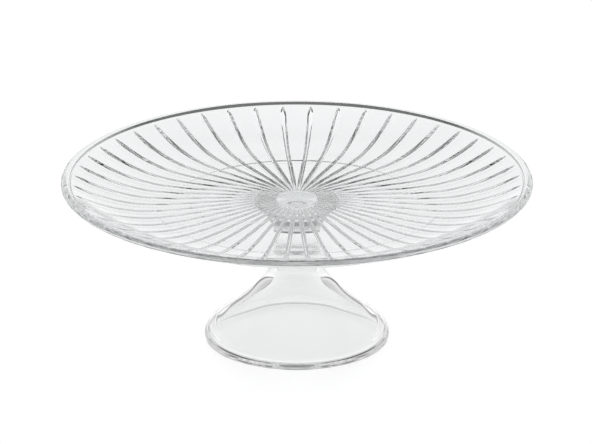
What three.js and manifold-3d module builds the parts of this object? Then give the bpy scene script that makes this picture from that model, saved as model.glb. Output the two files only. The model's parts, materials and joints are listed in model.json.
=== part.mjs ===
// A footed cake stand in clear pressed glass: a shallow fluted plate on a hollow
// bell foot, joined by a thin disc of clear adhesive. Millimetres, +Z up, with the
// origin where the stand's axis meets the surface that it stands on.

import * as THREE from 'three';
import { mergeVertices } from 'three/addons/utils/BufferGeometryUtils.js';
import Module from 'manifold-3d';

// Driving dimensions
const plateRadius = 160;
const overallHeight = 115.5;
const footRadius = 63;
const glassThickness = 3.75;
const centreDepth = 14.9;        // rim top down to the flat middle of the plate
const wellSink = 2.4;            // the well's lowest ring lies this far below the middle
const middleRadius = 30;         // flat middle of the plate
const wellInnerRadius = 80;
const wellOuterRadius = 93.5;    // the wall sweeps up from here
const sweepRadius = 118;         // radius of the wall's section
const wallSlopeDegrees = 26.3;   // the wall is straight once it has swept up this far

// A rounded bead runs along the rim
const beadHalfWidth = 3.03;
const beadCrown = 2.3;           // its top stands this far above its widest line
const beadUnder = 0.9;
const creaseRadius = 153.1;      // the wall meets the bead in a shallow crease
const undersideRadius = 158.5;   // where the underside meets the bead

// A low ring stands proud on the plate's underside
const ringInnerRadius = 83.6;
const ringOuterRadius = 97;
const ringHeight = 0.3;
const ringEdge = 1;

// Flutes pressed into the plate's upper face
const fluteCount = 48;
const fluteStartRadius = 15;
const fluteStartRise = 0.8;      // the flutes are this much shallower where they start
const fluteFullRadius = 24;
const fluteTipRadius = 149;
const fluteHalfWidth = 1.5;
const fluteDepth = 1.5;
const fluteFlat = 0.4;
const fluteClearance = 1;        // the cutter starts this far above the upper face
const fluteCutterAbove = 4;

// The joint between plate and foot
const touchGap = 0.3;
const bondThickness = 0.3;
const bondRadius = 14;
const flangeRadius = 29;

const plateSegments = fluteCount; // one facet to each flute, with the flute down its middle
const footSegments = 60;
const bondSegments = 48;

// Sizes that follow from the driving dimensions
const middleTop = overallHeight - centreDepth;
const middleUnderside = middleTop - glassThickness;
const bondTop = middleUnderside - touchGap;
const footTop = bondTop - bondThickness - touchGap;

function point(radius, height) {
  return new THREE.Vector2(radius, height);
}

// Points on a unit circle, both ends included
function arc(startDegrees, endDegrees, steps) {
  const points = [];
  for (let i = 0; i <= steps; i += 1) {
    const degrees = THREE.MathUtils.lerp(startDegrees, endDegrees, i / steps);
    const angle = THREE.MathUtils.degToRad(degrees);
    points.push(point(Math.cos(angle), Math.sin(angle)));
  }
  return points;
}

function beadPoints(startDegrees, endDegrees, steps, reach) {
  const widest = overallHeight - beadCrown;
  return arc(startDegrees, endDegrees, steps).map((unit) => point(
    plateRadius - beadHalfWidth + beadHalfWidth * unit.x, widest + reach * unit.y));
}

function turned(profile, segments) {
  const geometry = new THREE.LatheGeometry(profile, segments);
  geometry.rotateX(Math.PI / 2);
  return geometry;
}

// Height above the middle of a surface that falls to the well and sweeps up to the wall
function shellHeight(radius, sectionRadius) {
  const slope = THREE.MathUtils.degToRad(wallSlopeDegrees);
  const share = THREE.MathUtils.inverseLerp(middleRadius, wellInnerRadius, radius);
  const fall = wellSink * THREE.MathUtils.clamp(share, 0, 1);
  const across = Math.max(radius - wellOuterRadius, 0);
  const curved = Math.min(across, sectionRadius * Math.sin(slope));
  const rise = sectionRadius - Math.sqrt(sectionRadius ** 2 - curved ** 2);
  return rise - fall + (across - curved) * Math.tan(slope);
}

function topPoint(radius) {
  return point(radius, middleTop + shellHeight(radius, sweepRadius));
}

function undersidePoint(radius) {
  return point(radius, middleUnderside + shellHeight(radius, sweepRadius + glassThickness));
}

// Radii of the upper face's section from the well's edge to the end of its curve
const wallRadii = [wellOuterRadius, 106.5, 119.5, 132.5, 145.2];

function plateProfile() {
  const ringUnderside = middleUnderside - wellSink - ringHeight;
  return [
    point(0, middleUnderside),
    point(middleRadius, middleUnderside),
    undersidePoint(wellInnerRadius),
    undersidePoint(ringInnerRadius - ringEdge),
    point(ringInnerRadius + ringEdge, ringUnderside),
    point(ringOuterRadius - ringEdge, ringUnderside),
    undersidePoint(ringOuterRadius + ringEdge),
    ...wallRadii.slice(1).map(undersidePoint),
    undersidePoint(undersideRadius),
    ...beadPoints(-45, -22, 1, beadUnder),
    ...beadPoints(0, 90, 4, beadCrown),
    ...beadPoints(125, 165, 1, beadCrown),
    topPoint(creaseRadius),
    ...wallRadii.map(topPoint).reverse(),
    topPoint(wellInnerRadius),
    point(middleRadius, middleTop),
    point(0, middleTop),
  ];
}

// One flute's cutter: its outline follows the upper face, and its bevel sinks from
// there into the glass, to a narrow flat along the flute's centre line
function fluteCutter() {
  const radii = [fluteFullRadius, middleRadius, wellInnerRadius, ...wallRadii, fluteTipRadius];
  const above = (radius, clear) => topPoint(radius).add(point(0, clear));
  const outline = [
    above(fluteStartRadius, fluteClearance + fluteStartRise),
    ...radii.map((radius) => above(radius, fluteClearance)),
    ...radii.reverse().map((radius) => above(radius, fluteCutterAbove)),
    above(fluteStartRadius, fluteCutterAbove),
  ];
  const flankRun = (fluteHalfWidth - fluteFlat / 2) / fluteDepth;
  const sink = fluteDepth + fluteClearance;
  const geometry = new THREE.ExtrudeGeometry(new THREE.Shape(outline), {
    depth: fluteFlat,
    steps: 1,
    bevelEnabled: true,
    bevelSegments: 1,
    bevelThickness: flankRun * sink,
    bevelSize: sink,
  });
  geometry.translate(0, 0, -fluteFlat / 2);
  geometry.rotateX(Math.PI / 2);
  return geometry;
}

const wasm = await Module();
wasm.setup();

function toSolid(geometry) {
  const bare = geometry.clone();
  bare.deleteAttribute('normal');
  bare.deleteAttribute('uv');
  const merged = mergeVertices(bare, 1e-4);
  const mesh = new wasm.Mesh({
    numProp: 3,
    vertProperties: new Float32Array(merged.attributes.position.array),
    triVerts: new Uint32Array(merged.index.array),
  });
  return new wasm.Manifold(mesh);
}

function toGeometry(solid) {
  const mesh = solid.getMesh();
  const geometry = new THREE.BufferGeometry();
  geometry.setAttribute('position', new THREE.BufferAttribute(mesh.vertProperties, 3));
  geometry.setIndex(new THREE.BufferAttribute(mesh.triVerts, 1));
  return geometry;
}

function plateGeometry() {
  let plate = toSolid(turned(plateProfile(), plateSegments));
  const cutter = fluteCutter();
  const pitch = 2 * Math.PI / fluteCount;
  for (let i = 0; i < fluteCount; i += 1) {
    const placed = cutter.clone().rotateZ(pitch * (i + 0.5));
    plate = plate.subtract(toSolid(placed));
  }
  return toGeometry(plate);
}

// The bell's outside, from the rim up the skirt and the neck to the flange
const footOutside = new THREE.SplineCurve([
  point(footRadius, 3),
  point(footRadius - 0.4, 6),
  point(60, 10),
  point(54, 16),
  point(42.9, 25),
  point(30.8, 36),
  point(21.3, 48),
  point(16.4, 58),
  point(15.2, 70),
  point(19, 83),
  point(flangeRadius, footTop - 1.5),
]);

// The hollow's surface, from its top on the axis down to the chamfer inside the rim
const footInside = new THREE.SplineCurve([
  point(0, 58.5),
  point(7.4, 57),
  point(12.4, 52),
  point(14.9, 45.2),
  point(18.6, 39.9),
  point(24.4, 34),
  point(31.2, 27.6),
  point(38.4, 21.3),
  point(45.3, 15.6),
  point(51.2, 10.6),
  point(54.4, 7.2),
  point(55.6, 4.2),
]);

function footProfile() {
  return [
    ...footInside.getPoints(20),
    point(58.4, 2.1),
    point(61.2, 0.2),
    point(61.4, 0),
    point(62.4, 0),
    point(62.85, 1.1),
    ...footOutside.getPoints(20),
    point(flangeRadius, footTop - 0.4),
    point(flangeRadius - 0.4, footTop),
    point(0, footTop),
  ];
}

function bondGeometry() {
  const geometry = new THREE.CylinderGeometry(
    bondRadius, bondRadius, bondThickness, bondSegments);
  geometry.rotateX(Math.PI / 2);
  geometry.translate(0, 0, bondTop - bondThickness / 2);
  return geometry;
}

function addPiece(name, geometry, colour, roughness) {
  const material = new THREE.MeshStandardMaterial({ color: colour, roughness, metalness: 0 });
  const mesh = new THREE.Mesh(geometry, material);
  mesh.name = name;
  group.add(mesh);
}

const group = new THREE.Group();
addPiece('plate', plateGeometry(), 0xe9eeee, 0.02);
addPiece('bond', bondGeometry(), 0xf2f5f5, 0.1);
addPiece('foot', turned(footProfile(), footSegments), 0xe7ecec, 0.02);

export default group;
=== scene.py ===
# A footed cake stand in clear pressed glass, on a pale table in soft studio light.
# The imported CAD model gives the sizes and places; this script makes the smooth glass
# surfaces, with every flute, and their materials. Lengths are in metres.

import json
import math

import bpy
import numpy as np
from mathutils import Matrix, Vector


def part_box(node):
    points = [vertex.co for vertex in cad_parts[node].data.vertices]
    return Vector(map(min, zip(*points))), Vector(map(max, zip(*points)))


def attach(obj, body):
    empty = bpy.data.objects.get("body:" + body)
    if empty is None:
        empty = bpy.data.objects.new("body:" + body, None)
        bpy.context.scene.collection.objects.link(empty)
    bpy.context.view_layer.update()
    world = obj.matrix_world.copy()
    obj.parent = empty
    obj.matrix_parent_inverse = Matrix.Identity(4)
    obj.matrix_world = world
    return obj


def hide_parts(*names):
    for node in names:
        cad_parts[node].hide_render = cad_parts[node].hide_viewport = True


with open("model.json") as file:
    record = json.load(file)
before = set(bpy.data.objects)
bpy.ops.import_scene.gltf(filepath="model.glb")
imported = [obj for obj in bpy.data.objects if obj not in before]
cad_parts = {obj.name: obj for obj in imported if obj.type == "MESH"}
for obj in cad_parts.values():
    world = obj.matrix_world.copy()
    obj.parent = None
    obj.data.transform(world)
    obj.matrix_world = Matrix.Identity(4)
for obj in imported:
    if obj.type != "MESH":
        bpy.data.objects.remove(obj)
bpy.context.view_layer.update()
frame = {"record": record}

MM = 0.001

# ---------------------------------------------------------------- sizes from the frame

plate_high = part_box("plate")[1]
foot_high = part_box("foot")[1]
bond_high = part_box("bond")[1]
mounts = {mount["name"]: mount for mount in frame["record"]["mounts"]}

PLATE_RADIUS = plate_high[0]
RIM_TOP = plate_high[2]
FOOT_RADIUS = foot_high[0]
BOND_RADIUS = bond_high[0]
MIDDLE_TOP = mounts["serving_surface"]["pos_m"][2]

# ---------------------------------------------------------------- the plate's section

GLASS = 3.75 * MM
WELL_SINK = 2.4 * MM           # the well's lowest ring lies this far below its middle
MIDDLE_RADIUS = 30 * MM
WELL_INNER = 80 * MM
WELL_OUTER = 93.5 * MM         # the wall sweeps up from here
SWEEP_RADIUS = 118 * MM
WALL_SLOPE = math.radians(26.3)  # the wall is straight once it has swept up this far
BEAD_HALF_WIDTH = 3.03 * MM    # rounded bead along the rim
BEAD_CROWN = 2.3 * MM          # its top stands this far above its widest line
BEAD_UNDER = 0.9 * MM          # half the height of the ellipse that its underside follows
BEAD_START = -48               # degrees round the bead, from the underside
BEAD_END = 170                 # to the crease
BEAD_STEPS = 88
CREASE = 153.1 * MM            # the wall meets the bead in a shallow crease
UNDERSIDE_INSET = 1.5 * MM     # the underside meets the bead this far inside its edge
RING_INNER = 83.6 * MM         # a low ring under the well
RING_OUTER = 97 * MM
RING_HEIGHT = 0.25 * MM
RING_EDGE = 2.5 * MM

# ---------------------------------------------------------------- the flutes

FLUTES = 48
FLUTE_START = 13.5 * MM
FLUTE_FIRST = 0.75 * MM        # half width where the flutes start
FLUTE_NARROW = 1.5 * MM        # half width over the well
FLUTE_WIDE = 2 * MM            # half width on the wall
FLUTE_WIDENS = 90 * MM         # the half width grows from here
FLUTE_WIDEST = 140 * MM        # to here
FLUTE_TAPER = 144 * MM         # the rounded tip begins here
FLUTE_TIP = 151.5 * MM
FLUTE_TIP_POWER = 0.6          # 0.5 would make the tip a half ellipse; this is more pointed
FLUTE_ROUND = 0.36             # rounding of the bottom, as a share of the half width
FLUTE_SINK = 1.0               # depth, as a share of the half width
FLUTE_SHALLOW = 0.35           # share of the full depth at the inner ends
FLUTE_RAMP = 1.5 * MM          # length over which the inner ends dip into the glass
FLUTE_DEEPENS = 18 * MM        # the flutes deepen from here
FLUTE_FULL = 34 * MM           # full depth from here outwards
LEAST_HALF_WIDTH = 1e-9        # keeps a division by the half width safe beyond the tips


def smooth_step(low, high, value):
    share = np.clip((value - low) / (high - low), 0, 1)
    return share * share * (3 - 2 * share)


def shell_height(radius, sweep_radius):
    """A surface that falls from the middle to the well and sweeps up to the wall."""
    fall = WELL_SINK * np.clip((radius - MIDDLE_RADIUS) / (WELL_INNER - MIDDLE_RADIUS), 0, 1)
    across = np.maximum(radius - WELL_OUTER, 0)
    end = sweep_radius * math.sin(WALL_SLOPE)
    curved = np.minimum(across, end)
    rise = sweep_radius - np.sqrt(sweep_radius**2 - curved**2)
    return rise - fall + np.maximum(across - end, 0) * math.tan(WALL_SLOPE)


def serving_height(radius):
    """The plate's upper surface between the flutes, from the axis to the rim."""
    return MIDDLE_TOP + shell_height(radius, SWEEP_RADIUS)


def underside_height(radius):
    """The plate's lower surface."""
    ring = smooth_step(RING_INNER - RING_EDGE, RING_INNER + RING_EDGE, radius)
    ring = ring - smooth_step(RING_OUTER - RING_EDGE, RING_OUTER + RING_EDGE, radius)
    return MIDDLE_TOP - GLASS + shell_height(radius, SWEEP_RADIUS + GLASS) - RING_HEIGHT * ring


def flute_half_width(radius):
    width = FLUTE_NARROW + (FLUTE_WIDE - FLUTE_NARROW) * smooth_step(FLUTE_WIDENS, FLUTE_WIDEST, radius)
    start = np.clip((radius - FLUTE_START) / (FLUTE_FULL - FLUTE_START), 0, 1)
    width = width - (FLUTE_NARROW - FLUTE_FIRST) * (1 - start)
    along_tip = np.clip((radius - FLUTE_TAPER) / (FLUTE_TIP - FLUTE_TAPER), 0, 1)
    return width * (1 - along_tip**2)**FLUTE_TIP_POWER


def flute_drop(radius, across):
    """How far a flute sinks into the glass, across metres to the side of its centre line."""
    half_width = flute_half_width(radius)
    deepening = smooth_step(FLUTE_DEEPENS, FLUTE_FULL, radius)
    sink = FLUTE_SHALLOW + (1 - FLUTE_SHALLOW) * deepening
    sink = sink * FLUTE_SINK * smooth_step(FLUTE_START, FLUTE_START + FLUTE_RAMP, radius)
    share = np.clip(np.abs(across) / np.maximum(half_width, LEAST_HALF_WIDTH), 0, 1)
    rounded = np.sqrt(share**2 + FLUTE_ROUND**2) - FLUTE_ROUND
    deepest = math.sqrt(1 + FLUTE_ROUND**2) - FLUTE_ROUND
    return half_width * sink * (1 - rounded / deepest)


def stations(*stretches):
    """Radii over a run of (start, end, spacing) stretches, the ends shared."""
    radii = []
    for start, end, spacing in stretches:
        count = max(1, round(abs(end - start) / spacing))
        radii.extend(np.linspace(start, end, count, endpoint=False))
    radii.append(stretches[-1][1])
    return np.array(radii)


def spline(points, per_span):
    """Points along a curve through the given ones, its bend changing smoothly throughout."""
    points = np.array(points)
    lengths = np.linalg.norm(np.diff(points, axis=0), axis=1)
    system = np.eye(len(points))
    turns = np.zeros_like(points)
    for i in range(1, len(points) - 1):
        before, after = lengths[i - 1:i + 1]
        system[i, i - 1:i + 2] = before, 2 * (before + after), after
        turns[i] = 6 * ((points[i + 1] - points[i]) / after - (points[i] - points[i - 1]) / before)
    bends = np.linalg.solve(system, turns)
    made = []
    for i, length in enumerate(lengths):
        for t in np.linspace(0, 1, per_span, endpoint=False):
            s = 1 - t
            bow = (s**3 - s) * bends[i] + (t**3 - t) * bends[i + 1]
            made.append(s * points[i] + t * points[i + 1] + length**2 / 6 * bow)
    made.append(points[-1])
    return np.array(made)


def arc(centre, height, radius, start, end, count):
    angles = np.radians(np.linspace(start, end, count))
    return centre + radius * np.cos(angles), height + radius * np.sin(angles)


# ---------------------------------------------------------------- mesh making


def mesh_object(name, verts, faces):
    mesh = bpy.data.meshes.new(name)
    mesh.from_pydata([tuple(v) for v in verts], [], [tuple(f) for f in faces])
    mesh.polygons.foreach_set("use_smooth", [True] * len(mesh.polygons))
    mesh.update()
    piece = bpy.data.objects.new(name, mesh)
    bpy.context.scene.collection.objects.link(piece)
    return piece


def revolved(name, rings, bottom, top):
    """A closed body from rings of equally many points, with one point on the axis at each end."""
    count = len(rings[0])
    verts = [bottom]
    for ring in rings:
        verts.extend(ring)
    verts.append(top)
    faces = []
    for j in range(count):
        following = (j + 1) % count
        faces.append((0, 1 + following, 1 + j))
        for i in range(len(rings) - 1):
            low = 1 + i * count
            high = low + count
            faces.append((low + j, low + following, high + following, high + j))
        last = 1 + (len(rings) - 1) * count
        faces.append((last + j, last + following, len(verts) - 1))
    return mesh_object(name, verts, faces)


def ring_points(radius, angles, heights):
    return np.stack([radius * np.cos(angles), radius * np.sin(angles), heights], axis=1)


# ---------------------------------------------------------------- the plate

# Where the columns lie across half a flute, as shares of its half width
HALF_GROOVE = [0.15, 0.3, 0.46, 0.64, 0.8, 0.92, 1.0, 1.08]
GROOVE_STEPS = np.array([*[-step for step in reversed(HALF_GROOVE)], 0.0, *HALF_GROOVE])
LAND_STEPS = 5
LEAST_COLUMNS = 0.5 * MM       # least half width of the columns over a flute, at its ends
GROOVE_SHARE = 0.497           # and their largest, as a share of the pitch
PITCH = 2 * math.pi / FLUTES
HUB = 4 * MM                   # the innermost ring of points
CLOSE_FLUTES = 24 * MM         # the rings are denser from here inwards, to the flutes' ends


def plate_columns(radius):
    """Angles round one ring of the plate: dense over each flute, sparse between them."""
    half_angle = np.maximum(flute_half_width(radius), LEAST_COLUMNS) / radius
    groove = np.clip(GROOVE_STEPS * half_angle, -GROOVE_SHARE * PITCH, GROOVE_SHARE * PITCH)
    land = np.linspace(groove[-1], PITCH + groove[0], LAND_STEPS + 2)[1:-1]
    one = np.concatenate([groove, land])
    centres = (np.arange(FLUTES) + 0.5) * PITCH
    return (centres[:, None] + one[None, :]).ravel()


def flute_offsets(radius, angles):
    from_centre = np.mod(angles, PITCH) - 0.5 * PITCH
    return radius * from_centre


def rim_section():
    """The bead from the underside, round its outside and over its top, to the crease."""
    turn = np.radians(np.linspace(BEAD_START, BEAD_END, BEAD_STEPS))
    radii = PLATE_RADIUS - BEAD_HALF_WIDTH + BEAD_HALF_WIDTH * np.cos(turn)
    reach = np.where(turn > 0, BEAD_CROWN, BEAD_UNDER)
    heights = RIM_TOP - BEAD_CROWN + reach * np.sin(turn)
    return np.stack([radii, heights], axis=1)


def make_plate():
    angles = plate_columns(FLUTE_TAPER)
    count = len(angles)
    rings = []
    under_radii = stations(
        (HUB, RING_INNER - RING_EDGE, 3 * MM),
        (RING_INNER - RING_EDGE, RING_INNER + RING_EDGE, 0.5 * MM),
        (RING_INNER + RING_EDGE, RING_OUTER - RING_EDGE, 1.5 * MM),
        (RING_OUTER - RING_EDGE, RING_OUTER + RING_EDGE, 0.5 * MM),
        (RING_OUTER + RING_EDGE, PLATE_RADIUS - UNDERSIDE_INSET, 2 * MM),
    )
    for radius in under_radii:
        rings.append(ring_points(radius, angles, np.full(count, underside_height(radius))))
    for radius, height in rim_section():
        rings.append(ring_points(radius, angles, np.full(count, height)))
    top_radii = stations(
        (CREASE, FLUTE_TIP, 0.3 * MM),
        (FLUTE_TIP, FLUTE_TAPER, 0.5 * MM),
        (FLUTE_TAPER, CLOSE_FLUTES, 2 * MM),
        (CLOSE_FLUTES, FLUTE_START, 0.5 * MM),
        (FLUTE_START, HUB, 2 * MM),
    )
    for radius in top_radii:
        columns = plate_columns(radius)
        heights = serving_height(radius) - flute_drop(radius, flute_offsets(radius, columns))
        rings.append(ring_points(radius, columns, heights))
    bottom = (0, 0, float(underside_height(0.0)))
    top = (0, 0, float(serving_height(0.0)))
    return revolved("pressed_plate", rings, bottom, top)


# ---------------------------------------------------------------- the foot

FLANGE_RISE = 0.1 * MM         # above the CAD adhesive, which leaves 0.2 mm under the plate
FOOT_TOP = bond_high[2] + FLANGE_RISE
FLANGE_RADIUS = 29 * MM
FLANGE_LIP = 1.5 * MM          # the flange's edge is upright over this height
FLANGE_EDGE = 0.4 * MM         # and rounded over this much
FLANGE_FACE = 2 * MM           # its top is flat from this far inside the edge
FOOT_COLUMNS = 192
SECTION_SPAN = 12              # points between two given ones on the bell's curves
RIM_SPAN = 6
FLANGE_SPAN = 4

# The bell's outside, from its widest, up the skirt and the neck, to the flange
FOOT_OUTSIDE = [
    (FOOT_RADIUS, 3 * MM),
    (62.6 * MM, 6 * MM),
    (58.3 * MM, 12 * MM),
    (48.9 * MM, 20 * MM),
    (37.3 * MM, 30 * MM),
    (25.7 * MM, 42 * MM),
    (17.4 * MM, 56 * MM),
    (15.3 * MM, 68 * MM),
    (17.4 * MM, 80 * MM),
    (FLANGE_RADIUS, FOOT_TOP - FLANGE_LIP),
]

# The hollow's surface, from its top on the axis down to the chamfer
FOOT_INSIDE = [
    (0.0, 58.5 * MM),
    (7.4 * MM, 57 * MM),
    (12.4 * MM, 52 * MM),
    (14.9 * MM, 45.2 * MM),
    (18.6 * MM, 39.9 * MM),
    (24.4 * MM, 34 * MM),
    (31.2 * MM, 27.6 * MM),
    (38.4 * MM, 21.3 * MM),
    (45.3 * MM, 15.6 * MM),
    (51.2 * MM, 10.6 * MM),
    (54.4 * MM, 7.2 * MM),
    (55.6 * MM, 4.2 * MM),
]


# The chamfer inside the rim, and the narrow ring that the foot stands on
FOOT_RIM = [
    (56.6 * MM, 3.1 * MM),
    (58.5 * MM, 2 * MM),
    (60.4 * MM, 0.9 * MM),
    (61.6 * MM, 0.05 * MM),
    (62.2 * MM, 0.05 * MM),
    (62.85 * MM, 1.1 * MM),
]

# Radii of the rings of points on the flange's flat top
FLANGE_RINGS = [20 * MM, 10 * MM, 3 * MM]


def level_rings(section, angles):
    """One level ring of points for each point of a section."""
    return [ring_points(radius, angles, np.full(len(angles), height)) for radius, height in section]


def make_foot():
    # The hollow's curve starts beyond the axis, so that its top is level on the axis
    radius, height = FOOT_INSIDE[1]
    inside = spline([(-radius, height), *FOOT_INSIDE], SECTION_SPAN)[SECTION_SPAN + 1:]
    outside = spline(FOOT_OUTSIDE, SECTION_SPAN)
    rim = spline([inside[-1], *FOOT_RIM, outside[0]], RIM_SPAN)[1:-1]
    rim[:, 1] = np.maximum(rim[:, 1], 0)
    flange = spline([
        outside[-1],
        (FLANGE_RADIUS, FOOT_TOP - FLANGE_EDGE),
        (FLANGE_RADIUS - FLANGE_EDGE, FOOT_TOP),
        (FLANGE_RADIUS - FLANGE_FACE, FOOT_TOP),
    ], FLANGE_SPAN)[1:]
    pad = [(radius, FOOT_TOP) for radius in FLANGE_RINGS]
    section = np.vstack([inside, rim, outside, flange, pad])
    angles = np.arange(FOOT_COLUMNS) * 2 * math.pi / FOOT_COLUMNS
    rings = level_rings(section, angles)
    return revolved("bell_foot", rings, (0, 0, FOOT_INSIDE[0][1]), (0, 0, FOOT_TOP))


# ---------------------------------------------------------------- the bond

BOND_OVERLAP = 0.05 * MM       # it reaches this far into both faces, so that no air film shows
BOND_BULGE = 0.2 * MM          # its edge bulges this far
BOND_EDGE_POINTS = 9
BOND_HUB = 6 * MM              # its innermost ring of points


def make_bond():
    low = FOOT_TOP - BOND_OVERLAP
    high = MIDDLE_TOP - GLASS + BOND_OVERLAP
    angles = np.arange(FOOT_COLUMNS) * 2 * math.pi / FOOT_COLUMNS
    bulge, heights = arc(BOND_RADIUS - BOND_BULGE, 0, BOND_BULGE, -90, 90, BOND_EDGE_POINTS)
    heights = low + (high - low) * (heights / (2 * BOND_BULGE) + 0.5)
    section = [(BOND_HUB, low), *zip(bulge, heights), (BOND_HUB, high)]
    rings = level_rings(section, angles)
    return revolved("adhesive_disc", rings, (0, 0, low), (0, 0, high))


# ---------------------------------------------------------------- materials

GLASS_IOR = 1.52
RIPPLE_DETAIL = 2.0
PRESSED_RIPPLE = (30, 0.004 * MM)    # how many ripples to a metre, and their height
CURED_RIPPLE = (200, 0.01 * MM)
PLATE_TINT = (0.935, 0.95, 0.955, 1)
# The foot's glass is tinted darker than the plate's. Part of this is the glass's own grey, and part is
# painted shade that stands in for the shade on the table inside the bell.
FOOT_TINT_AND_PAINTED_SHADE = (0.915, 0.92, 0.918, 1)
BOND_TINT = (0.98, 0.99, 0.99, 1)
BOND_ROUGHNESS = 0.03


def glass_material(name, tint, roughness, ripple):
    """Clear glass whose surface has the slight ripple of a pressing."""
    material = bpy.data.materials.new(name)
    material.use_nodes = True
    nodes = material.node_tree.nodes
    links = material.node_tree.links
    shader = nodes["Principled BSDF"]
    shader.inputs["Base Color"].default_value = tint
    shader.inputs["Metallic"].default_value = 0.0
    shader.inputs["Roughness"].default_value = roughness
    shader.inputs["IOR"].default_value = GLASS_IOR
    shader.inputs["Transmission Weight"].default_value = 1.0
    ripple_scale, ripple_height = ripple
    coordinates = nodes.new("ShaderNodeTexCoord")
    noise = nodes.new("ShaderNodeTexNoise")
    noise.inputs["Scale"].default_value = ripple_scale
    noise.inputs["Detail"].default_value = RIPPLE_DETAIL
    bump = nodes.new("ShaderNodeBump")
    bump.inputs["Strength"].default_value = 1.0
    bump.inputs["Distance"].default_value = ripple_height
    links.new(coordinates.outputs["Object"], noise.inputs["Vector"])
    links.new(noise.outputs["Fac"], bump.inputs["Height"])
    links.new(bump.outputs["Normal"], shader.inputs["Normal"])
    return material


def floor_material():
    """A pale table that gives off some light, so that it reads as plain white."""
    material = bpy.data.materials.new("pale_table")
    material.use_nodes = True
    shader = material.node_tree.nodes["Principled BSDF"]
    shader.inputs["Base Color"].default_value = (0.8, 0.8, 0.8, 1)
    shader.inputs["Roughness"].default_value = 0.25
    shader.inputs["Emission Color"].default_value = (1, 1, 1, 1)
    shader.inputs["Emission Strength"].default_value = 0.7
    return material


# ---------------------------------------------------------------- assembly

plate = make_plate()
foot = make_foot()
bond = make_bond()

plate.data.materials.append(glass_material("plate_glass", PLATE_TINT, 0.0, PRESSED_RIPPLE))
foot.data.materials.append(glass_material("foot_glass", FOOT_TINT_AND_PAINTED_SHADE, 0.0, PRESSED_RIPPLE))
bond.data.materials.append(glass_material("clear_adhesive", BOND_TINT, BOND_ROUGHNESS, CURED_RIPPLE))

for piece, node, slot in (
    (plate, "plate", "plate_glass"),
    (foot, "foot", "foot_glass"),
    (bond, "bond", "clear_adhesive"),
):
    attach(piece, "root")
    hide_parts(node)

# ---------------------------------------------------------------- table, light and camera

scene = bpy.context.scene
FLOOR_HALF = 1.8               # the table reaches this far from the stand
FLOOR_CORNERS = [(-FLOOR_HALF, -FLOOR_HALF, 0), (FLOOR_HALF, -FLOOR_HALF, 0),
                 (FLOOR_HALF, FLOOR_HALF, 0), (-FLOOR_HALF, FLOOR_HALF, 0)]

# The sky's brightness by the sine of the height above the horizon
LIGHT_BY_HEIGHT = [
    (0.0, 0.02), (0.05, 0.35), (0.11, 0.95), (0.2, 0.78), (0.3, 0.66), (0.4, 0.6),
    (0.54, 0.56), (0.65, 0.4), (0.76, 0.12), (1.0, 0.2)]

CAMERA_LENS = 310.5            # millimetres, on a sensor 36 mm wide
CAMERA_PLACE = (-0.6 * MM, -3.2462, 1.3085)
CAMERA_TILT = math.radians(69.321)


def make_floor():
    floor_mesh = bpy.data.meshes.new("table")
    floor_mesh.from_pydata(FLOOR_CORNERS, [], [(0, 1, 2, 3)])
    table = bpy.data.objects.new("table", floor_mesh)
    scene.collection.objects.link(table)
    floor_mesh.materials.append(floor_material())
    return table


def light_studio():
    """One soft sky, the same all round, whose brightness changes with height."""
    world = bpy.data.worlds.new("studio")
    scene.world = world
    world.use_nodes = True
    nodes = world.node_tree.nodes
    links = world.node_tree.links
    direction = nodes.new("ShaderNodeTexCoord")
    split = nodes.new("ShaderNodeSeparateXYZ")
    ramp = nodes.new("ShaderNodeValToRGB")
    links.new(direction.outputs["Generated"], split.inputs["Vector"])
    links.new(split.outputs["Z"], ramp.inputs["Fac"])
    links.new(ramp.outputs["Color"], nodes["Background"].inputs["Color"])
    stops = ramp.color_ramp.elements
    stops[0].position = LIGHT_BY_HEIGHT[0][0]
    stops[1].position = LIGHT_BY_HEIGHT[-1][0]
    for position, _ in LIGHT_BY_HEIGHT[1:-1]:
        stops.new(position)
    for stop, (_, value) in zip(stops, LIGHT_BY_HEIGHT):
        stop.color = (value, value, value, 1)


def make_camera():
    camera_data = bpy.data.cameras.new("camera")
    camera_data.lens = CAMERA_LENS
    camera_data.sensor_width = 36
    camera_data.clip_end = 50
    camera = bpy.data.objects.new("camera", camera_data)
    camera.location = CAMERA_PLACE
    camera.rotation_euler = (CAMERA_TILT, 0, 0)
    scene.collection.objects.link(camera)
    scene.camera = camera


floor = make_floor()
light_studio()
make_camera()

scene.view_settings.view_transform = "Standard"
scene.cycles.max_bounces = 32
scene.cycles.transmission_bounces = 32
scene.cycles.glossy_bounces = 16
scene.cycles.use_denoising = True
